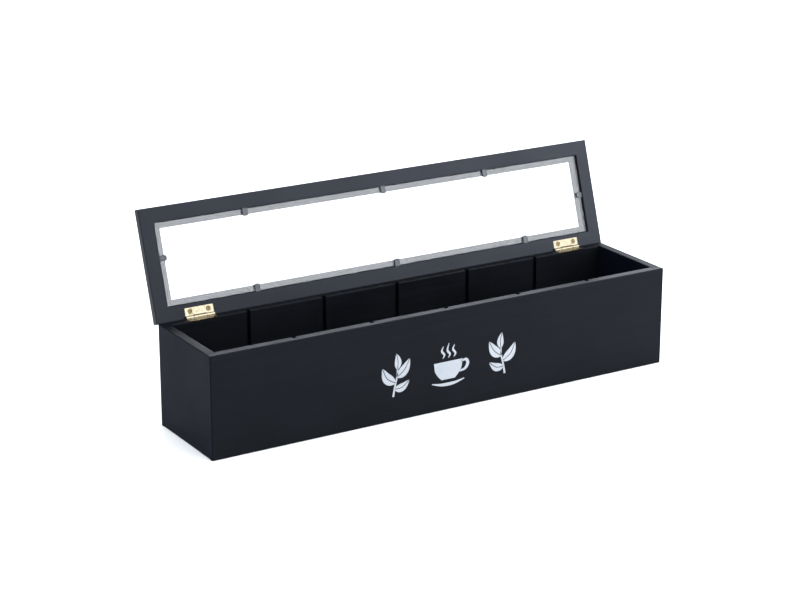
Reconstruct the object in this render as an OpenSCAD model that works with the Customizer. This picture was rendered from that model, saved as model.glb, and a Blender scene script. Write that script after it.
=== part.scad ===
// Tea bag organizer box: a long painted box with six compartments, lift-out dividers
// and a glazed lid on two butt hinges. The lid stands open, its rear edge against the back.
// Millimetres, +Z up. The origin is the centre of the box's underside; the front faces -Y.

/* [Box] */
// Outside length of the box, left to right
box_l = 430; // [320:5:520]
// Outside depth of the box, front to back
box_d = 90; // [72:1:130]
// Height of the walls
wall_h = 85; // [62:1:120]
// Thickness of the four walls
wall_t = 8; // [7:0.5:11]
// Thickness of the bottom panel
bottom_t = 4; // [3:0.5:6]
// Depth that the end panels and the bottom are let into the walls
housing = 4; // [3.5:0.5:5]
// Radius of the eased edges
edge_r = 0.9; // [0.4:0.1:1.4]

/* [Dividers] */
// Number of compartments in the row
compartments = 6; // [4:1:8]
// Thickness of a divider
divider_t = 3; // [2:0.5:4]
// Height of a divider
divider_h = 44; // [30:1:56]
// Depth of the grooves that the dividers slide in
groove_depth = 3.4; // [2:0.2:4.4]
// Play of a divider in its groove, on each side
divider_play = 0.2; // [0.1:0.05:0.4]
// Radius of a divider's upper corners
divider_r = 3; // [1:0.5:6]

/* [Lid] */
// Overhang of the lid all round
lid_over = 1; // [0.9:0.1:2.5]
// Thickness of the lid frame
lid_t = 7; // [6.5:0.5:10]
// Width of the frame's rails, across the outer face
rail_w = 17.5; // [14:0.5:26]
// Width of the ledge that carries the glass
ledge_w = 5.5; // [4:0.5:8]
// Thickness of the lip behind the glass
lip_t = 3; // [1.5:0.5:4]
// Thickness of the glass
glass_t = 2; // [1.5:0.5:3]
// Play round the edge of the glass
glass_play = 0.75; // [0.3:0.05:1.5]
// Angle to which the lid opens
open_angle = 108; // [102:1:114]
// Gap left between the open lid's rear edge and the back that stops it
stop_gap = 0.1; // [0.05:0.05:0.2]

/* [Glass clips] */
// Width of a clip
clip_w = 4.6; // [3:0.2:7]
// Radius of the two corners that a clip holds the glass with
clip_r = 1.5; // [0.5:0.1:1.5]
// Thickness of a clip
clip_t = 1; // [0.4:0.1:1.2]
// Length of clip that is driven into the frame
clip_in = 6; // [4:0.5:7]
// How far a clip reaches past the ledge
clip_past = 1; // [0:0.25:2]

/* [Hinges] */
// Length of a hinge along its pin
hinge_l = 25; // [18:1:35]
// Distance from the box's end to the middle of a hinge
hinge_inset = 37; // [28:1:90]
// Width of a leaf, from the pin's axis to its free edge
leaf_w = 8; // [7.5:0.1:9]
// Radius of a leaf's corners
leaf_r = 0.4; // [0.2:0.1:1]
// Thickness of a leaf
leaf_t = 0.8; // [0.6:0.1:1]
// Gap between the two leaves of the closed hinge
leaf_gap = 0.2; // [0.1:0.05:0.3]
// Radius of the hinge pin
pin_r = 0.8; // [0.6:0.05:1]
// Radial play of the pin in the turning knuckle
pin_play = 0.05; // [0.02:0.01:0.1]
// Radial play of the pin in the knuckles that hold it
pin_hold = 0.01; // [0:0.005:0.02]
// Length of each outer knuckle
end_knuckle = 6.5; // [4:0.5:8]
// Gap between neighbouring knuckles
knuckle_gap = 0.3; // [0.1:0.05:0.4]
// Gap between the barrel and the wood that it is let into
barrel_gap = 0.3; // [0.3:0.05:0.5]

/* [Hinge screws] */
// Distance between the two screws of a leaf
screw_pitch = 16; // [11:0.5:17]
// Radius of a screw's countersunk head
screw_head_r = 1.8; // [1.5:0.1:2]
// Radius of a screw's shank
screw_r = 0.9; // [0.7:0.1:1]
// Length of a screw
screw_l = 5.5; // [4.5:0.5:5.5]
// How far a screw's head lies below the face of its leaf
screw_sink = 0.3; // [0:0.05:0.4]
// Clearance round a screw in the leaf and the wood
screw_play = 0.05; // [0.02:0.01:0.1]
// Width of a screw's cross recess
recess_w = 0.5; // [0.3:0.05:0.6]
// Depth of a screw's cross recess
recess_d = 0.5; // [0.3:0.05:0.8]

/* [Hidden] */
$fn = 48;
paint = [0.09, 0.10, 0.11];
brass = [0.80, 0.70, 0.42];
steel = [0.42, 0.43, 0.45];
cut = 1; // how far a cutting solid runs past the face that it opens

// The inside of the box and the row of dividers
inner_l = box_l - 2 * wall_t;
inner_d = box_d - 2 * wall_t;
dividers = compartments - 1;
compartment_l = (inner_l - dividers * divider_t) / compartments;
function divider_x(i) = -inner_l / 2 + i * (compartment_l + divider_t) - divider_t / 2;

// The closed lid, which the open one is turned from
lid_l = box_l + 2 * lid_over;
lid_d = box_d + 2 * lid_over;
rebate_d = lid_t - lip_t;
rebate_edge = rail_w - ledge_w;
glass_face = rebate_d - glass_t;

// The pin's axis lies in the plane of the back, half way up the gap under the closed lid. The
// gap is such that the lid's eased rear edge meets the back at the angle to which the lid opens.
stop_reach = (edge_r + stop_gap - (lid_over - edge_r) * cos(open_angle)) / sin(open_angle);
lid_gap = 2 * (stop_reach - edge_r);
lid_z = wall_h + lid_gap;
knuckle_r = pin_r + pin_play + leaf_t;
clear_r = knuckle_r + knuckle_gap; // a leaf stays this far from the other one's knuckles
pin_y = box_d / 2;
pin_z = wall_h + lid_gap / 2;
leaf_recess = leaf_t + leaf_gap / 2 - lid_gap / 2;
screw_y = pin_y - (leaf_w + clear_r) / 2;
screw_head_h = screw_head_r - screw_r;
mid_knuckle = hinge_l - 2 * end_knuckle - 2 * knuckle_gap;
function hinge_x(side) = side * (box_l / 2 - hinge_inset);

// Each clip: its name, the edge of the lid that it is driven into, its distance from the middle
// of that edge as a share of the half length, and how much deeper than the others it goes in.
// They are set by eye, so they aren't even.
CLIPS = [["front_left", "front", -0.57, 0], ["front_middle", "front", 0.03, 0],
         ["front_right", "front", 0.5, 0], ["rear_left", "rear", 0.57, 0],
         ["rear_middle", "rear", -0.04, 0], ["rear_right", "rear", -0.64, 0],
         ["left", "left", 0.11, 0], ["right", "right", 0.02, 1]];
SIDES = ["left", "right"];

// ---------------------------------------------------------------- shared shapes

// A rectangle from the origin with some corners eased, given as [near, right, far, left] flags
// that go round from the origin's own corner
module eased_square(size, corners, r = edge_r) {
    places = [[0, 0], [size.x, 0], [size.x, size.y], [0, size.y]];
    difference() {
        square(size);
        for (i = [0:3]) if (corners[i]) translate(places[i]) rotate(90 * i) difference() {
            translate([-cut, -cut]) square(r + cut);
            translate([r, r]) circle(r);
        }
    }
}

// Puts a shape that was drawn for the right or the back on the given side
module on_side(side) { mirror([side < 0 ? 1 : 0, 0, 0]) children(); }
module to_front() { mirror([0, 1, 0]) children(); }

// Extrudes an outline along X; its own x becomes Y and its own y becomes Z
module along_x(len) {
    rotate([90, 0, 90]) translate([0, 0, -len / 2]) linear_extrude(len) children();
}

// Extrudes an outline along Y; its own x stays X and its own y becomes Z
module along_y(len) {
    rotate([90, 0, 0]) translate([0, 0, -len / 2]) linear_extrude(len) children();
}

// ---------------------------------------------------------------- box

// The back panel before its hinges are let in. The front one is its mirror image. Its ends are
// rebated for the end panels, its lower edge for the bottom, and its inner face is grooved.
module long_panel() {
    inner_y = inner_d / 2;
    difference() {
        intersection() {
            translate([-box_l / 2, inner_y, 0])
                linear_extrude(wall_h) eased_square([box_l, wall_t], [0, 0, 1, 1]);
            along_x(box_l) translate([inner_y, 0]) eased_square([wall_t, wall_h], [0, 1, 1, 1]);
            along_y(box_d + cut) translate([-box_l / 2, 0])
                eased_square([box_l, wall_h], [0, 0, 1, 1]);
        }
        for (side = [-1, 1]) on_side(side)
            translate([inner_l / 2, inner_y - cut, -cut])
                cube([wall_t + cut, housing + cut, wall_h + 2 * cut]);
        translate([-box_l / 2, inner_y - cut, -cut]) cube([box_l, housing + cut, bottom_t + cut]);
        for (i = [1:dividers])
            translate([divider_x(i) - divider_t / 2 - divider_play, inner_y - cut, -cut])
                cube([divider_t + 2 * divider_play, groove_depth + cut, wall_h + 2 * cut]);
    }
}

module front_panel() color(paint) to_front() long_panel();

module back_panel() color(paint) difference() {
    long_panel();
    for (side = [-1, 1]) translate([hinge_x(side), 0, 0]) {
        leaf_space();
        for (s = [-1, 1]) screw_place(s) screw_space();
    }
}

// An end panel sits in the rebates of the front and back panels
module end_panel(side) color(paint) on_side(side) difference() {
    along_y(inner_d + 2 * housing) translate([inner_l / 2, 0])
        eased_square([wall_t, wall_h], [0, 1, 1, 1]);
    translate([inner_l / 2 - cut, -box_d / 2, -cut]) cube([housing + cut, box_d, bottom_t + cut]);
}

// The bottom lies in a rebate that runs round the foot of the walls
module bottom_panel() color(paint)
    translate([-inner_l / 2 - housing, -inner_d / 2 - housing, 0])
        cube([inner_l + 2 * housing, inner_d + 2 * housing, bottom_t]);

// A divider drops into a pair of grooves and stands on the bottom
module divider(i) color(paint) {
    width = inner_d + 2 * (groove_depth - divider_play);
    translate([divider_x(i), 0, bottom_t])
        rotate([90, 0, 90]) translate([-width / 2, 0, -divider_t / 2])
            linear_extrude(divider_t) eased_square([width, divider_h], [0, 0, 1, 1], divider_r);
}

// ---------------------------------------------------------------- lid

// Turns what is drawn for the closed lid to the open one, about the hinge pin
module opened() {
    translate([0, pin_y, pin_z]) rotate([-open_angle, 0, 0]) translate([0, -pin_y, -pin_z])
        children();
}

// Section of a frame rail: the outer edge at the origin, the glass rebate open to the underside
module rail_section() {
    difference() {
        eased_square([rail_w, lid_t], [1, 0, 0, 1]);
        translate([rebate_edge, -cut]) square([ledge_w + cut, rebate_d + cut]);
    }
}

// A rail of the closed lid with mitred ends. Its outer edge lies on the X axis, the wood at +Y.
module rail(len) {
    intersection() {
        along_x(len) rail_section();
        linear_extrude(lid_t) polygon([[-len / 2, 0], [len / 2, 0],
                                       [len / 2 - rail_w, rail_w], [-len / 2 + rail_w, rail_w]]);
    }
}

// The outline of the lid, which eases the corners where two mitres meet
module lid_outline() {
    translate([-lid_l / 2, -lid_d / 2, lid_z - cut])
        linear_extrude(lid_t + 2 * cut) eased_square([lid_l, lid_d], [1, 1, 1, 1]);
}

// Places a rail or a clip, drawn on the X axis with the wood at +Y, on one edge of the closed lid
function edge_l(edge) = edge == "front" || edge == "rear" ? lid_l : lid_d;
module on_edge(edge) {
    turn = edge == "front" ? 0 : edge == "right" ? 90 : edge == "rear" ? 180 : 270;
    out = (lid_l + lid_d - edge_l(edge)) / 2;
    translate([0, 0, lid_z]) rotate(turn) translate([0, -out, 0]) children();
}

module frame_rail(edge) color(paint) opened() difference() {
    intersection() {
        on_edge(edge) rail(edge_l(edge));
        lid_outline();
    }
    for (c = CLIPS) if (c[1] == edge) clip_placed(c);
    if (edge == "rear") for (side = [-1, 1]) translate([hinge_x(side), 0, 0]) under_lid() {
        leaf_space();
        for (s = [-1, 1]) screw_place(s) screw_space();
    }
}

module glass_pane() color([0.75, 0.85, 0.88, 0.4]) opened() {
    inset = rebate_edge + glass_play;
    translate([-lid_l / 2 + inset, -lid_d / 2 + inset, lid_z + glass_face])
        cube([lid_l - 2 * inset, lid_d - 2 * inset, glass_t]);
}

// A flat steel point: its square end is driven into the rebate's wall, its round-cornered end
// holds the glass against the ledge
module clip_placed(c) {
    reach = ledge_w + clip_past;
    on_edge(c[1]) translate([c[2] * edge_l(c[1]) / 2, rebate_edge - c[3], glass_face - clip_t])
        linear_extrude(clip_t) translate([-clip_w / 2, -clip_in])
            eased_square([clip_w, clip_in + reach], [0, 0, 1, 1], clip_r);
}
module glass_clip(c) color(steel) opened() clip_placed(c);

// ---------------------------------------------------------------- hinges

// What belongs to the lid is drawn like the box's half and turned over about the pin's level
module under_lid() {
    translate([0, 0, pin_z]) mirror([0, 0, 1]) translate([0, 0, -pin_z]) children();
}

// The wood that makes room for a leaf and for its half of the barrel
module leaf_space() {
    barrel_l = hinge_l + 2 * knuckle_gap;
    translate([-hinge_l / 2, pin_y - leaf_w, wall_h - leaf_recess])
        cube([hinge_l, leaf_w + cut, leaf_recess + cut]);
    translate([-barrel_l / 2, pin_y, pin_z]) rotate([0, 90, 0])
        cylinder(r = knuckle_r + barrel_gap, h = barrel_l);
}

module screw_place(s) translate([s * screw_pitch / 2, screw_y, pin_z - leaf_gap / 2]) children();

// A countersunk wood screw, point down, sunk below the leaf's face at the origin, or the space
// that it needs with some play. Both are cones of 45 degrees; the space's opens at the face.
module screw_body(face, play) {
    neck = -screw_sink - screw_head_h;
    point = -screw_sink - screw_l;
    rotate_extrude() polygon([[0, face], [screw_r + play + face - neck, face],
                              [screw_r + play, neck], [screw_r + play, point + screw_r], [0, point]]);
}
module screw_space() {
    screw_body(0, screw_play);
    cylinder(r = screw_head_r + screw_play + screw_sink, h = cut);
}
module screw() difference() {
    screw_body(-screw_sink, 0);
    for (turn = [0, 90]) rotate(turn)
        translate([-screw_r, -recess_w / 2, -screw_sink - recess_d])
            cube([2 * screw_r, recess_w, recess_d + cut]);
}

// One leaf of a closed hinge, lying on the box. "ends" has the two outer knuckles and holds the
// pin tight; the other leaf has the middle knuckle and turns on the pin.
module leaf(ends) {
    spans = ends ? [[-hinge_l / 2, end_knuckle], [hinge_l / 2 - end_knuckle, end_knuckle]]
                 : [[-mid_knuckle / 2, mid_knuckle]];
    top = pin_z - leaf_gap / 2;
    difference() {
        union() {
            translate([-hinge_l / 2, pin_y - leaf_w, top - leaf_t])
                linear_extrude(leaf_t)
                    eased_square([hinge_l, leaf_w - clear_r], [1, 1, 0, 0], leaf_r);
            for (span = spans) translate([span[0], 0, 0]) {
                translate([0, pin_y - clear_r - cut, top - leaf_t])
                    cube([span[1], clear_r + cut, leaf_t]);
                translate([0, pin_y, pin_z]) rotate([0, 90, 0]) cylinder(r = knuckle_r, h = span[1]);
            }
        }
        translate([-hinge_l, pin_y, pin_z]) rotate([0, 90, 0])
            cylinder(r = pin_r + (ends ? pin_hold : pin_play), h = 2 * hinge_l);
        for (s = [-1, 1]) screw_place(s) screw_space();
    }
}

module box_leaf(side) color(brass) translate([hinge_x(side), 0, 0]) leaf(false);
module lid_leaf(side) color(brass) opened() translate([hinge_x(side), 0, 0]) under_lid() leaf(true);
module hinge_pin(side) color(brass)
    translate([hinge_x(side) - hinge_l / 2, pin_y, pin_z]) rotate([0, 90, 0])
        cylinder(r = pin_r, h = hinge_l);

module leaf_screws() {
    for (side = [-1, 1]) translate([hinge_x(side), 0, 0])
        for (s = [-1, 1]) screw_place(s) screw();
}
module box_hinge_screws() color(brass) leaf_screws();
module lid_hinge_screws() color(brass) opened() under_lid() leaf_screws();

// ---------------------------------------------------------------- assembly

front_panel();
back_panel();
end_panel(-1);  // left_end_panel
end_panel(1);  // right_end_panel
bottom_panel();
for (i = [1:dividers]) divider(i);
frame_rail("front");  // lid_front_rail
frame_rail("rear");  // lid_rear_rail
frame_rail("left");  // lid_left_stile
frame_rail("right");  // lid_right_stile
glass_pane();
for (c = CLIPS) glass_clip(c);
for (i = [0, 1]) {
    box_leaf(2 * i - 1);
    lid_leaf(2 * i - 1);
    hinge_pin(2 * i - 1);
}
box_hinge_screws();
lid_hinge_screws();
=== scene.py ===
"""Looks of the tea bag organizer box: paint, glass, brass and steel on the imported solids, and
the print on the front. Metres, in the frame of the solids; the front faces -Y."""
import math

import bmesh
import bpy
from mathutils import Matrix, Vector


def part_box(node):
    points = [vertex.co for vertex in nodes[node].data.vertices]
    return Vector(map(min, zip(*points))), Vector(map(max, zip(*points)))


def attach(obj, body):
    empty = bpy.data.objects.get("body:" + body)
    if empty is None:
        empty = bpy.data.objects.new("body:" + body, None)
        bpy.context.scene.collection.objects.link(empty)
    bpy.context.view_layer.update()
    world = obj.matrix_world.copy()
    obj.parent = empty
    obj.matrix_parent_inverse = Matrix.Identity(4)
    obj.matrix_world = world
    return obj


MM = 0.001
OPEN_ANGLE = math.radians(108)  # how far the lid is open at rest

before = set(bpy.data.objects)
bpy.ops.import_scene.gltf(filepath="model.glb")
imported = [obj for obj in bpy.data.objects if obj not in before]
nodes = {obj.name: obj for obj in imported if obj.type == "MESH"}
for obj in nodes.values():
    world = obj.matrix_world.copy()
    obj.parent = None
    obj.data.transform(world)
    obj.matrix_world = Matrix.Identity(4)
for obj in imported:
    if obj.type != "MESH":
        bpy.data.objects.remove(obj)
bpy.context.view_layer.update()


# ---------------------------------------------------------------- materials

class Shader:
    """A node-based material with one Principled shader and the few nodes that it is fed by."""

    def __init__(self, name, **values):
        self.material = bpy.data.materials.new(name)
        self.material.use_nodes = True
        self.tree = self.material.node_tree
        self.tree.nodes.clear()
        self.surface = self.add("ShaderNodeBsdfPrincipled")
        output = self.add("ShaderNodeOutputMaterial")
        self.join(self.surface.outputs["BSDF"], output.inputs["Surface"])
        for socket, value in values.items():
            self.surface.inputs[socket.replace("_", " ")].default_value = value

    def add(self, kind, **settings):
        node = self.tree.nodes.new(kind)
        for key, value in settings.items():
            setattr(node, key, value)
        return node

    def join(self, source, target):
        self.tree.links.new(source, target)

    def feed(self, socket, source):
        """Joins an output to a socket of the Principled shader."""
        self.join(source, self.surface.inputs[socket])

    def place(self, scale, turn=(0, 0, 0)):
        """Places on the piece in metres, turned, then scaled along each axis."""
        turned = self.add("ShaderNodeMapping")
        turned.inputs["Rotation"].default_value = turn
        self.join(self.add("ShaderNodeTexCoord").outputs["Object"], turned.inputs["Vector"])
        scaled = self.add("ShaderNodeMapping")
        scaled.inputs["Scale"].default_value = scale
        self.join(turned.outputs["Vector"], scaled.inputs["Vector"])
        return scaled.outputs["Vector"]

    def noise(self, scale, turn=(0, 0, 0), detail=3.0, rough=0.5):
        """Noise whose features are 1/scale metres long along each axis."""
        node = self.add("ShaderNodeTexNoise")
        node.inputs["Scale"].default_value = 1.0
        node.inputs["Detail"].default_value = detail
        node.inputs["Roughness"].default_value = rough
        self.join(self.place(scale, turn), node.inputs["Vector"])
        return node.outputs["Fac"]

    def even_noise(self, scale, **settings):
        """Noise whose features are as long along each axis."""
        return self.noise((scale, scale, scale), **settings)

    def remap(self, source, low, high, start=0.3, end=0.7):
        """Stretches what lies between start and end to the span from low to high."""
        node = self.add("ShaderNodeMapRange")
        for socket, value in zip(("From Min", "From Max", "To Min", "To Max"),
                                 (start, end, low, high)):
            node.inputs[socket].default_value = value
        self.join(source, node.inputs["Value"])
        return node.outputs["Result"]

    def add_up(self, first, second):
        node = self.add("ShaderNodeMath", operation="ADD")
        self.join(first, node.inputs[0])
        self.join(second, node.inputs[1])
        return node.outputs["Value"]

    def blend(self, factor, first, second):
        """A colour between two, each a colour or the output of another node."""
        node = self.add("ShaderNodeMix", data_type="RGBA")
        for socket, value in (("A", first), ("B", second)):
            target = [s for s in node.inputs if s.name == socket and s.type == "RGBA"][0]
            if isinstance(value, tuple):
                target.default_value = (*value, 1)
            else:
                self.join(value, target)
        self.join(factor, node.inputs["Factor"])
        return [s for s in node.outputs if s.type == "RGBA"][0]

    def facing(self, axis, start=0.3, end=0.8):
        """How far the piece's faces look along an axis, either way: 0 or 1, smooth between."""
        normal = self.add("ShaderNodeSeparateXYZ")
        self.join(self.add("ShaderNodeTexCoord").outputs["Normal"], normal.inputs["Vector"])
        size = self.add("ShaderNodeMath", operation="ABSOLUTE")
        self.join(normal.outputs[axis], size.inputs[0])
        return self.remap(size.outputs["Value"], 0, 1, start, end)

    def bumps(self, *layers):
        """Lays reliefs over each other, each an output and its height in metres."""
        below = None
        for height, depth in layers:
            node = self.add("ShaderNodeBump")
            node.inputs["Distance"].default_value = depth
            self.join(height, node.inputs["Height"])
            if below:
                self.join(below, node.inputs["Normal"])
            below = node.outputs["Normal"]
        self.feed("Normal", below)


PAINT_TINT = (0.80, 0.855, 1.0, 1)  # of what the paint reflects head on
PAINT_TONES = (0.0024, 0.0029, 0.0040), (0.0036, 0.0042, 0.0056)
GRAIN_TONE = (0.0060, 0.0070, 0.0090)
PAINTED_END_REFLECTION = (0.0030, 0.0042, 0.0083)  # painted reflection: a bluer tone that stands in for the bluish light on the box's ends
ACROSS_GRAIN, ALONG_GRAIN = 520.0, 14.0  # lines of the grain in a metre
SATIN, DULL = 0.40, 0.56  # roughness of the paint on the box and on the lid
MOTTLE = 0.10  # how much rougher the paint is in places


def paint(name, along, gloss, rough=SATIN, turn=(0, 0, 0), other=None, painted_reflection_on_other=False):
    """Satin black paint on sanded wood. The grain shows faintly through it, along the piece.
    The faces that look along one axis can have a gloss of their own: other holds that axis and
    the gloss. Then a painted reflection, a bluer tone that stands in for the bluish light on
    the box's ends, is on those faces or on all the rest."""
    shader = Shader(name, Specular_IOR_Level=gloss, Specular_Tint=PAINT_TINT)
    stretch = [ACROSS_GRAIN, ACROSS_GRAIN, ACROSS_GRAIN]
    stretch[along] = ALONG_GRAIN
    grain = shader.noise(stretch, turn, detail=5.0, rough=0.6)
    cloud = shader.even_noise(16, detail=4.0)
    peel = shader.even_noise(1500, detail=2.0)
    tone = shader.blend(shader.remap(cloud, 0, 1), *PAINT_TONES)
    if other:
        axis, other_gloss = other
        share = shader.facing(axis)
        shader.feed("Specular IOR Level", shader.remap(share, gloss, other_gloss, 0, 1))
        # painted reflection: the bluer tone goes on the picked faces when asked, else on all
        # the rest
        tone = shader.blend(share, *((tone, PAINTED_END_REFLECTION) if painted_reflection_on_other
                                     else (PAINTED_END_REFLECTION, tone)))
    shader.feed("Base Color", shader.blend(shader.remap(grain, 0, 0.35, 0.45, 0.75), tone,
                                           GRAIN_TONE))
    shader.feed("Roughness", shader.add_up(shader.remap(cloud, rough, rough + MOTTLE),
                                           shader.remap(grain, -0.02, 0.03)))
    shader.bumps((grain, 0.03 * MM), (peel, 0.012 * MM))
    return shader.material


def glass():
    """Clear float glass with a few faint smears."""
    shader = Shader("clear_glass", Transmission_Weight=1.0, IOR=1.5,
                    Base_Color=(0.97, 0.988, 0.985, 1))
    smear = shader.noise((30, 30, 90), detail=5.0, rough=0.7)
    shader.feed("Roughness", shader.remap(smear, 0.0, 0.012, 0.62, 0.85))
    return shader.material


def metal(name, base, worn, rough, spot=620):
    """Polished sheet metal with fine scratches one way and a little wear in spots."""
    shader = Shader(name, Metallic=1.0)
    scratch = shader.noise((260, 5200, 5200), detail=3.0, rough=0.65)
    spots = shader.even_noise(spot, detail=3.0)
    shader.feed("Base Color", shader.blend(shader.remap(spots, 0, 1, 0.48, 0.72), base, worn))
    shader.feed("Roughness", shader.add_up(shader.remap(scratch, rough - 0.05, rough + 0.07),
                                           shader.remap(spots, 0.0, 0.10, 0.45, 0.75)))
    shader.bumps((scratch, 0.006 * MM), (spots, 0.01 * MM))
    return shader.material


def ink():
    """Pale screen-printed ink, a little uneven and matt."""
    shader = Shader("pale_ink", Specular_IOR_Level=0.35)
    patch = shader.even_noise(60, detail=4.0)
    grit = shader.even_noise(2600, detail=2.0)
    tone = shader.blend(shader.remap(patch, 0, 1), (0.285, 0.305, 0.335), (0.33, 0.35, 0.375))
    shader.feed("Base Color", shader.blend(shader.remap(grit, 0, 0.5, 0.60, 0.85), tone,
                                           (0.24, 0.265, 0.30)))
    shader.feed("Roughness", shader.remap(grit, 0.55, 0.72))
    shader.bumps((grit, 0.01 * MM))
    return shader.material


X, Y = 0, 1
lid_turn = (OPEN_ANGLE - math.pi, 0, 0)  # brings the open lid's own plane level
# The box's ends get a bluer tone, a painted reflection of bluish light: on the long panels'
# faces that look along X, and on all but the upward faces of the end panels.
paint_x = paint("black_paint_long", X, 0.068, other=("X", 0.020), painted_reflection_on_other=True)
paint_y = paint("black_paint_end", Y, 0.019, other=("Z", 0.034))
paint_divider = paint("black_paint_divider", Y, 0.022)
paint_lid = paint("black_paint_rail", X, 0.295, DULL, lid_turn)
paint_stile = paint("black_paint_stile", Y, 0.285, DULL, lid_turn)
brass = metal("bright_brass", (0.27, 0.237, 0.167), (0.215, 0.183, 0.119), 0.20)
# The screws get a darker brass than the leaves: painted shade that stands in for the shade in
# their slots and countersinks.
shaded_screw_brass = metal("screw_brass_painted_shade", (0.13, 0.10, 0.055), (0.09, 0.066, 0.034), 0.28)
steel = metal("dark_steel", (0.080, 0.084, 0.090), (0.022, 0.024, 0.027), 0.46, 1300)
pane = glass()
pale_ink = ink()


def dress(material, *names):
    for name in names:
        for slot in nodes[name].material_slots:
            slot.material = material


dress(paint_x, "front_panel", "back_panel", "bottom_panel")
dress(paint_y, "left_end_panel", "right_end_panel")
dress(paint_divider, *[n for n in nodes if "divider" in n])
dress(paint_lid, "lid_front_rail", "lid_rear_rail")
dress(paint_stile, "lid_left_stile", "lid_right_stile")
dress(pane, "glass_pane")
dress(steel, *[n for n in nodes if "clip" in n])
dress(brass, *[n for n in nodes if "leaf" in n or "pin" in n])
dress(shaded_screw_brass, "box_hinge_screws", "lid_hinge_screws")

# The glass lies on the wood with a film of air between them
film = nodes["glass_pane"].modifiers.new("air_film", "DISPLACE")
film.mid_level, film.strength = 0.0, -0.05 * MM


# ---------------------------------------------------------------- print on the front

# All in millimetres
CURVE_STEPS = 24  # points from one given point of a line to the next
THINNEST = 0.03  # half width of a stroke where it ends
PROUD, SUNK = 0.07, 0.02  # how far the ink lies above the paint and reaches into it
PRINT_HEIGHT, PRINT_STEP = 39, 50.5  # of the middle of a motif, and from one to the next


def curve(points):
    """A smooth line through the points, each a pair, as a list of points."""
    pts = [Vector(p) for p in points]
    pts = [2 * pts[0] - pts[1]] + pts + [2 * pts[-1] - pts[-2]]
    line = []
    for i in range(1, len(pts) - 2):
        p0, p1, p2, p3 = pts[i - 1:i + 3]
        last = i == len(pts) - 3
        for k in range(CURVE_STEPS + (1 if last else 0)):
            t = k / CURVE_STEPS
            line.append(0.5 * (2 * p1 + (p2 - p0) * t + (2 * p0 - 5 * p1 + 4 * p2 - p3) * t * t
                               + (3 * p1 - p0 - 3 * p2 + p3) * t ** 3))
    return line


def sides(line, half):
    """The two edges of a stroke; half gives its half width at a share of its length."""
    left, right = [], []
    for i, p in enumerate(line):
        ahead = line[min(i + 1, len(line) - 1)] - line[max(i - 1, 0)]
        across = Vector((-ahead.y, ahead.x)).normalized()
        width = max(half(i / (len(line) - 1)), THINNEST)
        left.append(p + across * width)
        right.append(p - across * width)
    return left, right


def stroke(points, half):
    return [sides(curve(points), half)]


def leaf(points, half, gap):
    """A pointed leaf along its midrib, in two halves that a fine gap parts."""
    line = curve(points)
    outer, inner = sides(line, half), sides(line, lambda s: min(gap, half(s) * 0.5))
    return [(outer[0], inner[0]), (inner[1], outer[1])]


def printed(name, bands, across, flip=False):
    """A thin print on the front face from bands in mm, each two edges of equal length."""
    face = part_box("front_panel")[0].y
    mesh = bmesh.new()
    for left, right in bands:
        rows = []
        for a, b in zip(left, right):
            row = []
            for depth in (face - PROUD * MM, face + SUNK * MM):
                for p in (a, b):
                    x = -p.x if flip else p.x
                    row.append(mesh.verts.new(((across + x) * MM, depth,
                                               (PRINT_HEIGHT + p.y) * MM)))
            rows.append(row)
        for (a, b, c, d), (e, f, g, h) in zip(rows, rows[1:]):
            for quad in ((a, b, f, e), (d, c, g, h), (c, a, e, g), (b, d, h, f)):
                mesh.faces.new(quad)
        for a, b, c, d in (rows[0], rows[-1]):
            mesh.faces.new((a, b, d, c))
    bmesh.ops.recalc_face_normals(mesh, faces=mesh.faces)
    piece = new_object(name, mesh)
    piece.data.materials.append(pale_ink)
    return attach(piece, "box")


def new_object(name, mesh):
    """Puts a finished bmesh in the scene."""
    data = bpy.data.meshes.new(name)
    mesh.to_mesh(data)
    mesh.free()
    return in_scene(name, data)


def in_scene(name, data):
    thing = bpy.data.objects.new(name, data)
    bpy.context.scene.collection.objects.link(thing)
    return thing


def almond(width, peak=0.42):
    """Half width of a leaf that is widest at the given share of its length."""
    bend = math.log(0.5) / math.log(peak)
    return lambda s: width * math.sin(math.pi * s ** bend) ** 0.85 if 0 < s < 1 else 0.0


def taper(start, end):
    return lambda s: start + (end - start) * s


sprig = (stroke([(-3, -18), (-1.5, -10), (0.5, -2), (1, 5)], taper(0.9, 0.55))
         + leaf([(0.9, 4.5), (1.6, 11), (0.2, 18)], almond(3.1), 0.28)
         + leaf([(0.3, -2.2), (7.5, 3.2), (12.6, 12)], almond(4.3), 0.32)
         + leaf([(-0.7, -6.8), (-8.5, -1.6), (-13, 7.5)], almond(4.3), 0.32)
         + leaf([(-1.9, -11.8), (5.5, -11.2), (12.2, -6.2)], almond(3.5), 0.3))

printed("print_sprig_left", sprig, -PRINT_STEP)
printed("print_sprig_right", sprig, PRINT_STEP, flip=True)

CUP_X = -1.5  # the middle of the cup's body, which its handle sets off to the left


def cup_side(s):
    """Half width of the cup at a share of its height, from the foot up."""
    return 6.2 + 6.6 * math.sin(math.pi / 2 * min(s * 1.45, 1)) ** 0.9 + 0.9 * s ** 3


def steam(x, top):
    """A wisp that rises from the given place to the given height."""
    return stroke([(x, 5.6), (x + 1.5, 8.6), (x - 0.9, 12.2), (x + 0.6, top)],
                  lambda s: 0.2 + 0.75 * math.sin(math.pi * s))


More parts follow.
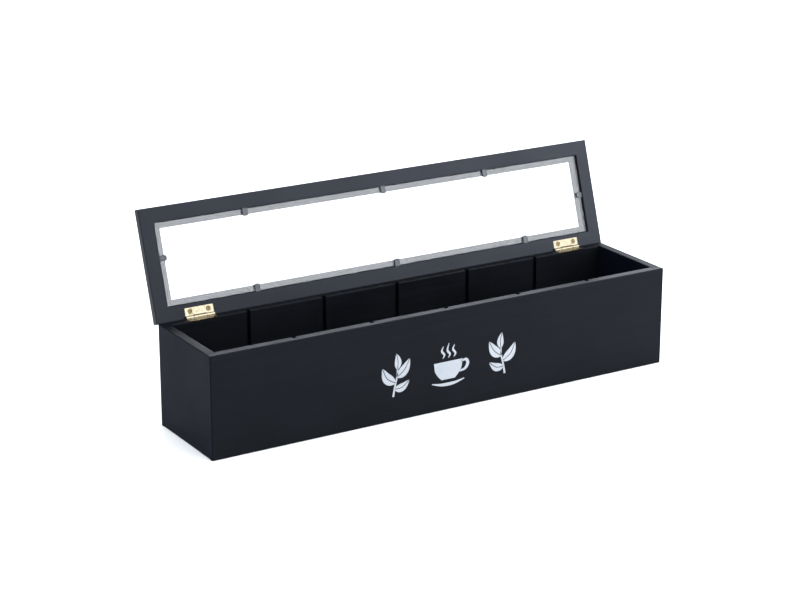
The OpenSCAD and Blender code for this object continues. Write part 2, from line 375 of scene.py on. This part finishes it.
body = stroke([(CUP_X, -12.6), (CUP_X, -5), (CUP_X, 2.6)], cup_side)
handle = stroke([(11.0, 0.6), (15.6, 1.2), (17.2, -2.4), (14.6, -6.4), (9.4, -7.6)],
                lambda s: 1.15 - 0.3 * math.cos(2 * math.pi * s))
saucer = stroke([(-17, -14.6), (-9, -16.5), (CUP_X, -17), (6, -16.5), (14, -14.6)],
                lambda s: 0.35 + 1.05 * math.sin(math.pi * s))
printed("print_cup",
        body + handle + saucer + steam(-6.8, 16) + steam(CUP_X, 18) + steam(3.8, 16), 0)


# ---------------------------------------------------------------- stage, light and camera

FLOOR_RADIUS, FLOOR_Z = 12.0, -0.2 * MM
FLOOR_CORNERS = 96
FLOOR_RINGS = 0.1, 0.3, 1.0  # shares of the radius


def disc(name, radius, height):
    """A flat floor of rings that widen outwards."""
    mesh = bmesh.new()
    middle = mesh.verts.new((0, 0, height))
    inner = None
    for ring in FLOOR_RINGS:
        verts = []
        for i in range(FLOOR_CORNERS):
            angle = 2 * math.pi * i / FLOOR_CORNERS
            verts.append(mesh.verts.new((radius * ring * math.cos(angle),
                                         radius * ring * math.sin(angle), height)))
        for i in range(FLOOR_CORNERS):
            j = (i + 1) % FLOOR_CORNERS
            mesh.faces.new((middle, verts[i], verts[j]) if inner is None
                           else (inner[i], verts[i], verts[j], inner[j]))
        inner = verts
    return new_object(name, mesh)


floor = disc("floor", FLOOR_RADIUS, FLOOR_Z)
floor_shader = Shader("pale_floor", Specular_IOR_Level=0.1)
floor_tone = floor_shader.even_noise(2, detail=2.0)
floor_shader.feed("Base Color",
                  floor_shader.blend(floor_tone, (0.87, 0.87, 0.87), (0.89, 0.89, 0.89)))
floor_shader.feed("Roughness", floor_shader.remap(floor_tone, 0.85, 0.95))
floor.data.materials.append(floor_shader.material)

AIM = Vector((0, 0, 0.08))  # the point of the box that the lights face


def softbox(name, azimuth, elevation, distance, size, radiance, tint=(1, 1, 1)):
    """A soft rectangular light of an even radiance that faces the object. The azimuth goes from
    the front to the box's right, in degrees."""
    a, e = math.radians(azimuth), math.radians(elevation)
    back = Vector((math.sin(a) * math.cos(e), -math.cos(a) * math.cos(e), math.sin(e)))
    data = bpy.data.lights.new(name, "AREA")
    data.shape = "RECTANGLE"
    data.size, data.size_y = size
    data.energy = radiance * math.pi * size[0] * size[1]
    data.color = tint
    light = in_scene(name, data)
    light.location = AIM + back * distance
    light.rotation_mode = "QUATERNION"
    light.rotation_quaternion = back.to_track_quat("Z", "Y")


softbox("softbox_right", 36, 26, 1.7, (1.4, 0.9), 4.1, (0.92, 0.94, 1.0))
softbox("softbox_top", 32, 58, 1.7, (1.3, 0.9), 3.2)
softbox("softbox_back", 152, 30, 2.2, (3.0, 2.0), 3.3, (0.86, 0.89, 1.0))
softbox("softbox_side", 70, 12, 1.1, (0.5, 0.6), 10.0, (0.90, 0.94, 1.0))
softbox("softbox_left", -115, 50, 1.6, (1.2, 0.8), 2.4, (0.92, 0.96, 1.0))

world = bpy.data.worlds.new("studio")
world.use_nodes = True
sky = world.node_tree.nodes["Background"].inputs
sky["Color"].default_value = (0.92, 0.96, 1.0, 1)
sky["Strength"].default_value = 1.35
bpy.context.scene.world = world
bpy.context.scene.view_settings.view_transform = "Standard"

# The camera that was fitted to the photograph
yaw, pitch = 0.54788, 0.3173  # it looks this far right of +Y and this far down
camera_data = bpy.data.cameras.new("camera")
camera_data.lens, camera_data.sensor_width = 99.935, 36.0
camera = in_scene("camera", camera_data)
camera.location = (-0.91299, -1.46401, 0.64721)
camera.rotation_euler = (math.pi / 2 - pitch, 0, -yaw)
bpy.context.scene.camera = camera
